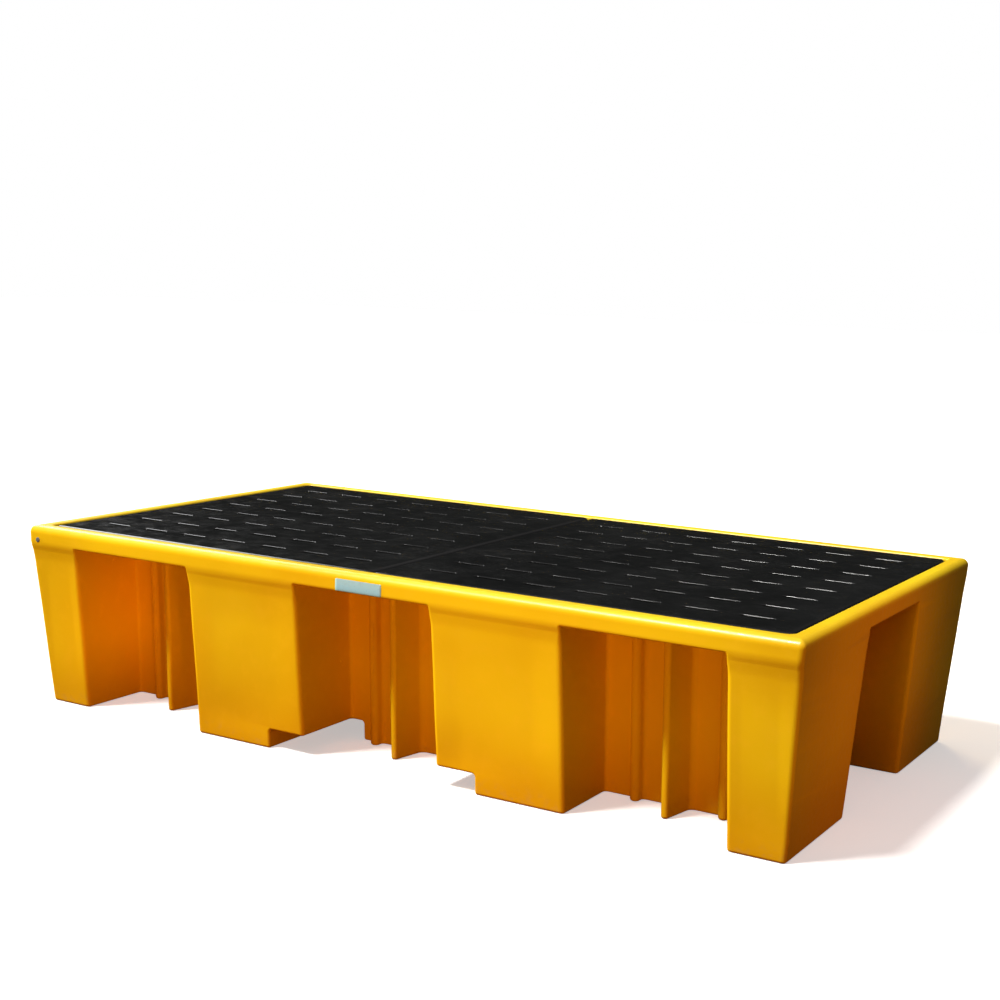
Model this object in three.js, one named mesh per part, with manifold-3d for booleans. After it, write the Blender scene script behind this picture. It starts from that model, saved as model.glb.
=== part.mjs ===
// Spill containment pallet for two 1000 litre intermediate bulk containers.
//
// A one-piece rotationally moulded polyethylene sump stands on eight hollow legs, four to a long side.
// Between the legs the walls step back into bays with ribbed back walls, and two fork channels run
// through the base from front to back. Two removable black deck panels lie in a recess inside the rim,
// carried by a ledge, by the roofs of the bays and by six loose support columns on the sump floor.
//
// Units are millimetres. +X runs along the length, +Y from the front to the back and +Z up.
// The origin is the centre of the footprint, on the ground.

import * as THREE from "three";
import { mergeVertices } from "three/addons/utils/BufferGeometryUtils.js";
import Module from "manifold-3d";

const wasm = await Module();
wasm.setup();

// ---------------------------------------------------------------- driving dimensions

const LENGTH = 2520;
const WIDTH = 1372;
const HEIGHT = 560;
const WALL = 7; // thickness of the moulded skin
const OVERRUN = 20; // how far a cutting body runs past the face that it opens
const GAP = 0.3; // clearance between pieces that touch

// Outside of the sump. The faces lean in towards the ground, and the rim stands proud of the legs.
const END_LEAN = 41;
const SIDE_LEAN = 59;
const LEG_RECESS = 4; // how far the tops of the legs' faces lie behind the rim
const LEG_TOP_Z = 470; // the legs' faces start to swell into the rim here
const RIM_FOOT_Z = 502; // the rim's flat face starts here
const RIM_SHOULDER_Z = 542; // the rim's rounded top starts here
const RIM_ROUNDING_DEGREES = [30, 60, 90]; // sections of the rounded top, round its quarter circle
const RIM_SKIN_INSET = 10.5; // inset of the hollow inside the rounded top
const FOOT_CORNER_RADIUS = 18;
const RIM_CORNER_RADIUS = 30;
const CORNER_STEPS = 5;
const FOOT_CHAMFER = 6;

// Bays between the legs.
const BAY_TOP_Z = 503;
const SIDE_BAY_CENTRES = [-842, 0, 842];
const SIDE_BAY = { half: 224, halfTop: 224, back: 398, backTop: 423 };
const END_BAY = { half: 224, halfTop: 206, back: 990, backTop: 1010 };
const BAY_REACH = 160; // how far a bay's cutting body runs out past the fin
const FIN = { half: 27, tipHalf: 9, height: 108 }; // upright rib in the middle of a bay's back wall
const FIN_SHOULDER = 0.93; // share of the fin's height where its rounded tip starts
const FIN_HOLLOW_HALF = 2; // least half width of the hollow in the fin's tip
const BUMP = { offset: 126, half: 25, height: 31 }; // shallow ribs at each side of it
const BUMP_SHOULDER = { half: 25 / 3, height: 31 * 0.85 }; // the corner of a bump's rounded profile

// Fork channels through the base.
const CHANNEL_INNER_X = 182;
const CHANNEL_OUTER_X = 348;
const CHANNEL_HEIGHT = 57;
const CHANNEL_RADIUS = 10;
const CHANNEL_STEPS = 3;

// Deck recess, and the ledge that the deck lies on.
const RIM_WIDTH = 50;
const LEDGE_WIDTH = 40;
const LEDGE_Z = BAY_TOP_Z + WALL;
const RECESS_RADIUS = 34;

// Deck panels.
const DECK_CLEARANCE = 5;
const DECK_JOINT = 6; // gap between the two panels
const DECK_TOP_Z = 558;
const DECK_SKIN = 7;
const DECK_RADIUS = 30;
const DECK_EDGE_CHAMFER = 5;
const DECK_BORDER = 62; // plain border round the ribbed field
const DECK_CELLS_X = 7;
const DECK_CELLS_Y = 8;
const DECK_RIB = 8;
const SLOT = { length: 92, width: 16, depth: 28 };

// Support columns on the sump floor.
const COLUMN_PLACES = [
  [-600, -200],
  [-600, 200],
  [0, -200],
  [0, 200],
  [600, -200],
  [600, 200],
];
const COLUMN_FOOT_HALF = 80;
const COLUMN_TOP_HALF = 60;
const COLUMN_WALL = 6;
const COLUMN_RADIUS = 22;
const COLUMN_CORNER_STEPS = 3;
const DRAIN_NOTCH = { half: 22, height: 30 };

// Small parts on the front of the rim.
const LABEL = { width: 152, height: 36, thickness: 0.5, z: 522 };
const PLUG = { x: -1218, z: 518, headRadius: 8, headHeight: 2.2, shankRadius: 4.6, shankLength: 7 };
const PLUG_STEPS = 12;
const PLUG_DOME_STEPS = 3;
const PLUG_HOLE = { radius: 5.2, length: 28 };

// ---------------------------------------------------------------- materials

const sumpYellow = new THREE.MeshStandardMaterial({ color: 0xf2a20c, roughness: 0.45, metalness: 0 });
const deckBlack = new THREE.MeshStandardMaterial({ color: 0x15171a, roughness: 0.35, metalness: 0 });
const columnBlack = new THREE.MeshStandardMaterial({ color: 0x1c1e20, roughness: 0.55, metalness: 0 });
const plugGrey = new THREE.MeshStandardMaterial({ color: 0x6e7880, roughness: 0.5, metalness: 0 });
const labelWhite = new THREE.MeshStandardMaterial({ color: 0xe9f2f6, roughness: 0.35, metalness: 0 });

// ---------------------------------------------------------------- geometry helpers

// Corners of a rectangle with rounded corners, anticlockwise.
function roundedRectangle(halfX, halfY, radius, steps) {
  const outline = [];
  const centres = [
    [halfX - radius, halfY - radius],
    [radius - halfX, halfY - radius],
    [radius - halfX, radius - halfY],
    [halfX - radius, radius - halfY],
  ];
  centres.forEach(([cx, cy], corner) => {
    for (let i = 0; i <= steps; i++) {
      const angle = (corner + i / steps) * (Math.PI / 2);
      outline.push([cx + radius * Math.cos(angle), cy + radius * Math.sin(angle)]);
    }
  });
  return outline;
}

// A closed solid through sections {z, outline} from the lowest to the highest. The outlines run
// anticlockwise and have the same number of points.
function loft(sections) {
  const count = sections[0].outline.length;
  const positions = sections.flatMap(({ z, outline }) => outline.flatMap(([x, y]) => [x, y, z]));
  const index = [];
  for (let s = 0; s + 1 < sections.length; s++) {
    for (let i = 0; i < count; i++) {
      const a = s * count + i;
      const b = s * count + ((i + 1) % count);
      index.push(a, b, b + count, a, b + count, a + count);
    }
  }
  const cap = (section, up) => {
    const shape = sections[section].outline.map(([x, y]) => new THREE.Vector2(x, y));
    for (const [a, b, c] of THREE.ShapeUtils.triangulateShape(shape, [])) {
      const face = [a, b, c].map((i) => i + section * count);
      index.push(...(up ? face : face.reverse()));
    }
  };
  cap(0, false);
  cap(sections.length - 1, true);
  return new THREE.BufferGeometry()
    .setAttribute("position", new THREE.Float32BufferAttribute(positions, 3))
    .setIndex(index);
}

function prism(outline, lowZ, highZ) {
  return loft([
    { z: lowZ, outline },
    { z: highZ, outline },
  ]);
}

function box(sizeX, sizeY, sizeZ, x, y, z) {
  return new THREE.BoxGeometry(sizeX, sizeY, sizeZ).translate(x, y, z);
}

function toSolid(geometry) {
  const bare = geometry.clone();
  bare.deleteAttribute("normal");
  bare.deleteAttribute("uv");
  const merged = mergeVertices(bare, 1e-3);
  return new wasm.Manifold(
    new wasm.Mesh({
      numProp: 3,
      vertProperties: new Float32Array(merged.attributes.position.array),
      triVerts: new Uint32Array(merged.index.array),
    }),
  );
}

function toGeometry(solid) {
  const { vertProperties, triVerts } = solid.getMesh();
  const geometry = new THREE.BufferGeometry()
    .setAttribute("position", new THREE.BufferAttribute(vertProperties, 3))
    .setIndex(new THREE.BufferAttribute(triVerts, 1));
  geometry.computeVertexNormals();
  return geometry;
}

function subtractAll(solid, geometries) {
  return geometries.reduce((left, cut) => left.subtract(toSolid(cut)), solid);
}

function namedMesh(name, geometry, material) {
  const mesh = new THREE.Mesh(geometry, material);
  mesh.name = name;
  return mesh;
}

// ---------------------------------------------------------------- sump

// Half length and half width of the sump's outer face at a height.
function halfSizes(z) {
  const height = THREE.MathUtils.clamp(z, 0, RIM_SHOULDER_Z);
  const lean = 1 - height / RIM_SHOULDER_Z;
  const blend = (RIM_FOOT_Z - height) / (RIM_FOOT_Z - LEG_TOP_Z);
  const recess = LEG_RECESS * Math.max(0, Math.min(height / LEG_TOP_Z, blend));
  return { x: LENGTH / 2 - END_LEAN * lean - recess, y: WIDTH / 2 - SIDE_LEAN * lean - recess };
}

// The sump's outline at a height, drawn in by an inset.
function sumpOutline(z, inset) {
  const half = halfSizes(z);
  const radius = THREE.MathUtils.lerp(FOOT_CORNER_RADIUS, RIM_CORNER_RADIUS, z / HEIGHT);
  return roundedRectangle(half.x - inset, half.y - inset, radius - inset, CORNER_STEPS);
}

function sumpBlock() {
  const shoulder = HEIGHT - RIM_SHOULDER_Z;
  const rounding = RIM_ROUNDING_DEGREES.map((degrees) => {
    const angle = THREE.MathUtils.degToRad(degrees);
    const z = RIM_SHOULDER_Z + shoulder * Math.sin(angle);
    return { z, outline: sumpOutline(z, shoulder * (1 - Math.cos(angle))) };
  });
  const face = [FOOT_CHAMFER, LEG_TOP_Z, RIM_FOOT_Z, RIM_SHOULDER_Z];
  return loft([
    { z: 0, outline: sumpOutline(0, FOOT_CHAMFER) },
    ...face.map((z) => ({ z, outline: sumpOutline(z, 0) })),
    ...rounding,
  ]);
}

// The hollow inside the skin, before the bays and channels are put back into it.
function cavityBlock() {
  const heights = [WALL, LEG_TOP_Z, RIM_FOOT_Z, RIM_SHOULDER_Z, HEIGHT - WALL];
  const inset = (z) => (z > RIM_SHOULDER_Z ? RIM_SKIN_INSET : WALL);
  return loft(heights.map((z) => ({ z, outline: sumpOutline(z, inset(z)) })));
}

// The line of a bay's back wall in the bay's own frame, from -half to +half: [along, outwards].
// skin shrinks the ribs by the skin's thickness, for the inner face.
function backWallLine(half, back, skin) {
  const fin = {
    half: FIN.half - skin,
    tipHalf: Math.max(FIN.tipHalf - skin, FIN_HOLLOW_HALF),
    height: FIN.height - skin,
  };
  const bump = (centre) => [
    [centre - BUMP.half, back],
    [centre - BUMP_SHOULDER.half, back + BUMP_SHOULDER.height],
    [centre, back + BUMP.height],
    [centre + BUMP_SHOULDER.half, back + BUMP_SHOULDER.height],
    [centre + BUMP.half, back],
  ];
  return [
    [-half, back],
    ...bump(-BUMP.offset),
    [-fin.half, back],
    [-fin.tipHalf, back + fin.height * FIN_SHOULDER],
    [0, back + fin.height],
    [fin.tipHalf, back + fin.height * FIN_SHOULDER],
    [fin.half, back],
    ...bump(BUMP.offset),
    [half, back],
  ];
}

// A body that fills one bay, pointing along +Y in its own frame. skin grows it by the skin's thickness.
function bayBody(bay, skin) {
  const reach = bay.backTop + FIN.height + BAY_REACH;
  const section = (z, half, back) => {
    const line = backWallLine(half + skin, back - skin, skin);
    return { z, outline: [...line, [half + skin, reach], [-half - skin, reach]] };
  };
  return loft([
    section(-OVERRUN, bay.half, bay.back),
    section(BAY_TOP_Z + skin, bay.halfTop, bay.backTop),
  ]);
}

function allBays(skin) {
  const bays = [];
  for (const centre of SIDE_BAY_CENTRES) {
    bays.push(bayBody(SIDE_BAY, skin).translate(centre, 0, 0));
    bays.push(bayBody(SIDE_BAY, skin).rotateZ(Math.PI).translate(centre, 0, 0));
  }
  bays.push(bayBody(END_BAY, skin).rotateZ(-Math.PI / 2));
  bays.push(bayBody(END_BAY, skin).rotateZ(Math.PI / 2));
  return bays;
}

// A fork channel as a body along Y, grown by skin.
function channelBody(side, skin) {
  const half = (CHANNEL_OUTER_X - CHANNEL_INNER_X) / 2 + skin;
  const top = CHANNEL_HEIGHT + skin;
  const arch = new THREE.Shape();
  arch.moveTo(-half, -OVERRUN);
  arch.lineTo(half, -OVERRUN);
  arch.lineTo(half, top - CHANNEL_RADIUS);
  arch.absarc(half - CHANNEL_RADIUS, top - CHANNEL_RADIUS, CHANNEL_RADIUS, 0, Math.PI / 2, false);
  arch.absarc(CHANNEL_RADIUS - half, top - CHANNEL_RADIUS, CHANNEL_RADIUS, Math.PI / 2, Math.PI, false);
  const depth = WIDTH + 2 * OVERRUN;
  return new THREE.ExtrudeGeometry(arch, { depth, bevelEnabled: false, curveSegments: CHANNEL_STEPS })
    .rotateX(Math.PI / 2)
    .translate((side * (CHANNEL_INNER_X + CHANNEL_OUTER_X)) / 2, depth / 2, 0);
}

const allChannels = (skin) => [-1, 1].map((side) => channelBody(side, skin));

// A rounded rectangle inside the rim, where inset is measured from the outer face of the rim.
function rimRectangle(inset, radius) {
  return roundedRectangle(LENGTH / 2 - inset, WIDTH / 2 - inset, radius, CORNER_STEPS);
}

// Places a small part on the front of the rim: its own +Y points out of the sloping face.
function rimFacePlacement(x, z, stand) {
  const run = halfSizes(RIM_SHOULDER_Z).y - halfSizes(RIM_FOOT_Z).y;
  const lean = Math.atan2(run, RIM_SHOULDER_Z - RIM_FOOT_Z);
  const outward = new THREE.Vector3(0, -Math.cos(lean), -Math.sin(lean));
  const up = new THREE.Vector3(0, -Math.sin(lean), Math.cos(lean));
  const across = new THREE.Vector3().crossVectors(outward, up);
  const point = new THREE.Vector3(x, -halfSizes(z).y, z).addScaledVector(outward, stand);
  return new THREE.Matrix4().makeBasis(across, outward, up).setPosition(point);
}

function plugHole() {
  const drill = new THREE.CylinderGeometry(PLUG_HOLE.radius, PLUG_HOLE.radius, PLUG_HOLE.length, PLUG_STEPS);
  return drill.applyMatrix4(rimFacePlacement(PLUG.x, PLUG.z, 0));
}

function makeSump() {
  const recessWall = prism(
    rimRectangle(RIM_WIDTH - WALL, RECESS_RADIUS + WALL),
    LEDGE_Z - WALL,
    HEIGHT + OVERRUN,
  );
  const recess = prism(rimRectangle(RIM_WIDTH, RECESS_RADIUS), LEDGE_Z, HEIGHT + OVERRUN);
  const mouth = prism(
    rimRectangle(RIM_WIDTH + LEDGE_WIDTH, RECESS_RADIUS),
    LEDGE_Z - WALL - OVERRUN,
    LEDGE_Z + OVERRUN,
  );
  const grownBays = allBays(WALL);
  const hollow = subtractAll(toSolid(cavityBlock()), [...grownBays, ...allChannels(WALL), recessWall]);
  const openMouth = subtractAll(toSolid(mouth), grownBays);
  const skin = subtractAll(toSolid(sumpBlock()), [...allBays(0), ...allChannels(0), recess, plugHole()]);
  return namedMesh("sump", toGeometry(skin.subtract(hollow).subtract(openMouth)), sumpYellow);
}

// ---------------------------------------------------------------- deck

const DECK_LENGTH = (LENGTH - 2 * RIM_WIDTH - 2 * DECK_CLEARANCE - DECK_JOINT) / 2;
const DECK_DEPTH = WIDTH - 2 * RIM_WIDTH - 2 * DECK_CLEARANCE;

// One deck panel: a skin on a grid of ribs that is open below, with a drain slot over each cell.
function makeDeckPanel(name, side) {
  const outline = (inset) => {
    const halfX = DECK_LENGTH / 2 - inset;
    const halfY = DECK_DEPTH / 2 - inset;
    return roundedRectangle(halfX, halfY, DECK_RADIUS - inset, CORNER_STEPS);
  };
  const slab = loft([
    { z: LEDGE_Z + GAP, outline: outline(0) },
    { z: DECK_TOP_Z - DECK_EDGE_CHAMFER, outline: outline(0) },
    { z: DECK_TOP_Z, outline: outline(DECK_EDGE_CHAMFER) },
  ]);
  const pitchX = (DECK_LENGTH - 2 * DECK_BORDER) / DECK_CELLS_X;
  const pitchY = (DECK_DEPTH - 2 * DECK_BORDER) / DECK_CELLS_Y;
  const cellHeight = DECK_TOP_Z - DECK_SKIN - LEDGE_Z + OVERRUN;
  const cellZ = DECK_TOP_Z - DECK_SKIN - cellHeight / 2;
  const cuts = [];
  for (let i = 0; i < DECK_CELLS_X; i++) {
    for (let j = 0; j < DECK_CELLS_Y; j++) {
      const x = (i - (DECK_CELLS_X - 1) / 2) * pitchX;
      const y = (j - (DECK_CELLS_Y - 1) / 2) * pitchY;
      cuts.push(box(pitchX - DECK_RIB, pitchY - DECK_RIB, cellHeight, x, y, cellZ));
      cuts.push(box(SLOT.length, SLOT.width, SLOT.depth, x, y, DECK_TOP_Z));
    }
  }
  const panel = namedMesh(name, toGeometry(subtractAll(toSolid(slab), cuts)), deckBlack);
  panel.position.x = (side * (DECK_LENGTH + DECK_JOINT)) / 2;
  return panel;
}

// ---------------------------------------------------------------- support columns

// A tapered column with a closed top, open below, and a notch in each side of its foot for the liquid.
function makeColumn(name, [x, y]) {
  const height = LEDGE_Z - WALL - GAP;
  const outline = (half, inset) => {
    return roundedRectangle(half - inset, half - inset, COLUMN_RADIUS - inset, COLUMN_CORNER_STEPS);
  };
  const outside = loft([
    { z: 0, outline: outline(COLUMN_FOOT_HALF, 0) },
    { z: height, outline: outline(COLUMN_TOP_HALF, 0) },
  ]);
  const inside = loft([
    { z: -OVERRUN, outline: outline(COLUMN_FOOT_HALF, COLUMN_WALL) },
    { z: height - COLUMN_WALL, outline: outline(COLUMN_TOP_HALF, COLUMN_WALL) },
  ]);
  const notches = [
    box(2 * DRAIN_NOTCH.half, 3 * COLUMN_FOOT_HALF, 2 * DRAIN_NOTCH.height, 0, 0, 0),
    box(3 * COLUMN_FOOT_HALF, 2 * DRAIN_NOTCH.half, 2 * DRAIN_NOTCH.height, 0, 0, 0),
  ];
  const solid = subtractAll(toSolid(outside), [inside, ...notches]);
  const column = namedMesh(name, toGeometry(solid), columnBlack);
  column.position.set(x, y, WALL + GAP);
  return column;
}

// ---------------------------------------------------------------- small parts

function makeLabel() {
  const label = new THREE.BoxGeometry(LABEL.width, LABEL.thickness, LABEL.height);
  label.applyMatrix4(rimFacePlacement(0, LABEL.z, GAP + LABEL.thickness / 2));
  return namedMesh("blank_label", label, labelWhite);
}

// A push-in plug with a low domed head, turned about its own Y axis.
function makePlug() {
  const profile = [
    new THREE.Vector2(0, -PLUG.shankLength),
    new THREE.Vector2(PLUG.shankRadius, -PLUG.shankLength),
    new THREE.Vector2(PLUG.shankRadius, 0),
  ];
  for (let i = 0; i < PLUG_DOME_STEPS; i++) {
    const angle = (i / PLUG_DOME_STEPS) * (Math.PI / 2);
    profile.push(new THREE.Vector2(PLUG.headRadius * Math.cos(angle), PLUG.headHeight * Math.sin(angle)));
  }
  profile.push(new THREE.Vector2(0, PLUG.headHeight));
  const plug = new THREE.LatheGeometry(profile, PLUG_STEPS);
  plug.applyMatrix4(rimFacePlacement(PLUG.x, PLUG.z, GAP));
  return namedMesh("rim_plug", plug, plugGrey);
}

// ---------------------------------------------------------------- the pallet

const pallet = new THREE.Group();
pallet.add(makeSump());
pallet.add(makeDeckPanel("deck_panel_left", -1));
pallet.add(makeDeckPanel("deck_panel_right", 1));
COLUMN_PLACES.forEach((place, i) => pallet.add(makeColumn(`support_column_${i + 1}`, place)));
pallet.add(makeLabel());
pallet.add(makePlug());

export default pallet;
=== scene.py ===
# The spill containment pallet's looks: moulded meshes, materials, lights and a camera.
# The meshes are made from signed distances, so every moulded corner has its own radius.
# Lengths are metres, in the frame's axes: +X along the length, +Y from front to back, +Z up.

import math

import bmesh
import bpy
import numpy as np
from mathutils import Matrix, Vector


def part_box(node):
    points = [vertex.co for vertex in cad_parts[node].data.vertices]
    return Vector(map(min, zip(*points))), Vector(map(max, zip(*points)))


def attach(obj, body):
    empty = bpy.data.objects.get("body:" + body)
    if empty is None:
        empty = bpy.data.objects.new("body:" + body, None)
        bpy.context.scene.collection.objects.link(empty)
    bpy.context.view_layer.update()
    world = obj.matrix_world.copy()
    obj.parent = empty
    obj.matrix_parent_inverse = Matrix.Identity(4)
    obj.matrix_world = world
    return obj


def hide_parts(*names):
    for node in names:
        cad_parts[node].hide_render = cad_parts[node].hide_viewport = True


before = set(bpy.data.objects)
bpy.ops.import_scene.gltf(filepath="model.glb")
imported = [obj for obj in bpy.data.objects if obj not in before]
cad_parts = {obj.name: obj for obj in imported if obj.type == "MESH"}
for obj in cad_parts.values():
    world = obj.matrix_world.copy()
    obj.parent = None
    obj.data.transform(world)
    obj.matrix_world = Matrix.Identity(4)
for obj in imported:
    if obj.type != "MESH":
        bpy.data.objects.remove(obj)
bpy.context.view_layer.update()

MM = 0.001

# ---------------------------------------------------------------- driving dimensions

HALF_LENGTH, HALF_WIDTH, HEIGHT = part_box("sump")[1]
WALL = 7 * MM

# Outside of the sump. Heights are above the ground.
END_LEAN = 41 * MM
SIDE_LEAN = 59 * MM
LEG_RECESS = 3 * MM  # how far the long sides have sunk in at LEG_TOP
LEG_TOP = 450 * MM
RIM_SWELL = 484 * MM  # the long sides begin to swell out to the rim here
RIM_FOOT = 502 * MM
RIM_FLAT = 516 * MM  # the rim's face stands upright from here
RIM_SHOULDER = 542 * MM  # the lean ends here
RIM_ROUNDING = 22 * MM
RIM_INSET = 1 * MM
FOOT_CORNER = 11 * MM
RIM_CORNER = 15 * MM
FOOT_ROUNDING = 7 * MM

# The legs' faces on the long sides are dished, wavy and dented where the moulding pulled in as it cooled.
LEG_MIDDLE = 421 * MM
LEG_HALF = 197 * MM
LEG_DISH = 3.5 * MM
CORNER_LEG_MIDDLE = 1150 * MM
CORNER_LEG_HALF = 84 * MM
CORNER_LEG_DISH = 2 * MM
DISH_FOOT_FADE = 200 * MM
TOP_FADE = 150 * MM
WAVE_DEPTH = 0.9 * MM
WAVE_FOOT_FADE = 60 * MM
WAVE_TILTED = (7.1, 9.0)  # each wave's radians per metre along X and Z
WAVE_STEEP = (-3.2, 11.0)
WAVE_SMALL = (17, -5)
WAVE_PHASE = 0.6
WAVE_SMALL_SHARE = 0.6
DENT_FOOT_FADE = 90 * MM
SAG_FADE = 300 * MM  # the waves and dents fade away from here towards the middle of the sump
DENTS = [  # x, z, width, depth
    (-450 * MM, 75 * MM, 85 * MM, 8.5 * MM),
    (300 * MM, 95 * MM, 85 * MM, 5 * MM),
    (-380 * MM, 400 * MM, 110 * MM, 1.5 * MM),
    (1150 * MM, 40 * MM, 90 * MM, 2.5 * MM),
]

# Bays between the legs: half width and back wall, at the ground and at the roof.
BAY_ROOF = 503 * MM
SIDE_BAY_SPACING = 842 * MM
SIDE_BAY = {"half": (224 * MM, 224 * MM), "back": (398 * MM, 423 * MM)}
END_BAY = {"half": (224 * MM, 206 * MM), "back": (990 * MM, 1010 * MM)}
BAY_OVERSHOOT = 0.1  # the taper runs on above and below a bay by this share of its height
BAY_MOUTH_ROUNDING = 12 * MM
BAY_ROOF_ROUNDING = 6 * MM
MOUTH_CHANGE = 440 * MM  # the mouth's rounding starts to change to the roof's here
MOUTH_CHANGE_HEIGHT = 50 * MM
BAY_FILLET = 9 * MM
BAY_ROOF_FILLET = 4 * MM
FIN_HALF = 27 * MM
FIN_TIP_HALF = 9 * MM
FIN_HEIGHT = 108 * MM
FIN_TIP_ROUNDING = 8 * MM
FIN_FILLET = 14 * MM
BUMP_OFFSET = 126 * MM
BUMP_HEIGHT = 31 * MM
BUMP_ROUNDING = 14 * MM
BUMP_FILLET = 20 * MM

# Fork channels through the base.
CHANNEL_CENTRE = 265 * MM
CHANNEL_HALF = 83 * MM
CHANNEL_HEIGHT = 57 * MM
CHANNEL_FILLET = 10 * MM

# Deck recess and ledge, measured in from the rim's outer face.
RIM_WIDTH = 50 * MM
LEDGE_WIDTH = 40 * MM
LEDGE = BAY_ROOF + WALL
RECESS_CORNER = 21 * MM
RECESS_FILLET = 5 * MM
RIM_INNER_ROUNDING = 9 * MM
LIP_ROUNDING = 3 * MM

# Deck panels, in a frame with its origin under the panel's middle.
DECK_LOW, DECK_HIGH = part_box("deck_panel_right")
DECK_HALF_X, DECK_HALF_Y = (DECK_HIGH - DECK_LOW).xy / 2
DECK_FOOT, DECK_TOP = DECK_LOW.z, DECK_HIGH.z
DECK_CENTRE_X = (DECK_LOW.x + DECK_HIGH.x) / 2
DECK_CORNER = 17 * MM
DECK_EDGE_ROUNDING = 14 * MM
DECK_FOOT_ROUNDING = 2 * MM
DECK_SKIN = 7 * MM
DECK_SINK = 0.7 * MM  # how far the skin sinks between the ribs
DECK_BORDER = 62 * MM
DECK_CELLS_X = 7
DECK_CELLS_Y = 8
DECK_RIB = 8 * MM
CELL_CORNER = 9 * MM
CELL_FILLET = 5 * MM
RIB_ROUNDING = 1.5 * MM
SLOT_HALF_LENGTH = 46 * MM
SLOT_HALF_WIDTH = 8 * MM
SLOT_LIP = 3.5 * MM

# Support columns, in a frame with its origin under the column's middle.
COLUMNS = [f"support_column_{number}" for number in range(1, 7)]
COLUMN_LOW, COLUMN_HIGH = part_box(COLUMNS[0])
COLUMN_FOOT, COLUMN_TOP = COLUMN_LOW.z, COLUMN_HIGH.z
COLUMN_FOOT_HALF = (COLUMN_HIGH.x - COLUMN_LOW.x) / 2
COLUMN_TOP_HALF = 60 * MM
COLUMN_WALL = 6 * MM
COLUMN_CORNER = 22 * MM
COLUMN_ROUNDING = 6 * MM
COLUMN_LIP = 1.5 * MM
NOTCH_HALF = 22 * MM
NOTCH_HEIGHT = 30 * MM
NOTCH_ROUNDING = 8 * MM

# Small parts on the front of the rim.
LABEL_WIDTH = 152 * MM
LABEL_HEIGHT = 36 * MM
LABEL_CORNER = 3 * MM
LABEL_FILM = 0.3 * MM
LABEL_STAND = 0.5 * MM
LABEL_Z = 522 * MM
LABEL_COLUMNS = 25
LABEL_ROW_ANGLES = range(-90, 91, 10)  # rows lie closest at the film's top and bottom
PLUG_X = -1218 * MM
PLUG_Z = 518 * MM
PLUG_RADIUS = 8 * MM
PLUG_HEIGHT = 1.9 * MM
PLUG_DIMPLE = 0.35  # share of the height
DIMPLE_SHARE = 0.4  # share of the radius
DOME_STEPS = 32
DOME_ANGLES = range(0, 91, 9)
PIPS = [(-222 * MM, -455 * MM, 242 * MM), (-1060 * MM, -515 * MM, 447 * MM)]
PIP_RADIUS = 5 * MM
PIP_HEIGHT = 2 * MM
PIP_SEARCH = 60 * MM

# Meshes: the size of a cell of the grid that finds the surface, and the triangles left after thinning.
SUMP_CELL, SUMP_FACES = 4 * MM, 190000
DECK_CELL, DECK_FACES = 2.5 * MM, 130000
COLUMN_CELL, COLUMN_FACES = 3 * MM, 16000

# Colours. A pair is what a plastic drifts between.
AMBER = (0.78, 0.51, 0.004), (0.85, 0.62, 0.006)
AMBER_FLOW = (0.91, 0.62, 0.015)
# painted shade for the feet
AMBER_PAINTED_SHADE = (0.62, 0.27, 0.001)
AMBER_SCUFF = (0.55, 0.33, 0.09)
AMBER_SCRATCH = (0.97, 0.66, 0.16)
BLACK = (0.0035, 0.0042, 0.0044), (0.007, 0.008, 0.0084)
BLACK_SCRATCH = (0.10, 0.105, 0.11)
BLACK_DUST = (0.16, 0.155, 0.14)
DULL_BLACK = (0.012, 0.0125, 0.013), (0.022, 0.0225, 0.023)
DULL_SCRATCH = (0.09, 0.09, 0.09)
VINYL = (0.28, 0.62, 0.84), (0.38, 0.72, 0.88)
VINYL_STAIN = (0.33, 0.52, 0.62)
NYLON = (0.11, 0.135, 0.16), (0.17, 0.20, 0.23)
PALE_FLOOR = (0.80, 0.80, 0.80), (0.83, 0.83, 0.83)
AMBER_FLOOR = (0.20, 0.08, 0.015), (0.22, 0.09, 0.02)
PAINTED_SHADE_HEIGHT = 260 * MM  # painted shade darkens the feet below this
PAINTED_SHADE_SHARE = 0.5
SCUFF_TOP, SCUFF_BOTTOM = 70 * MM, 5 * MM
SCUFF_SHARE = 0.22

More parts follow.
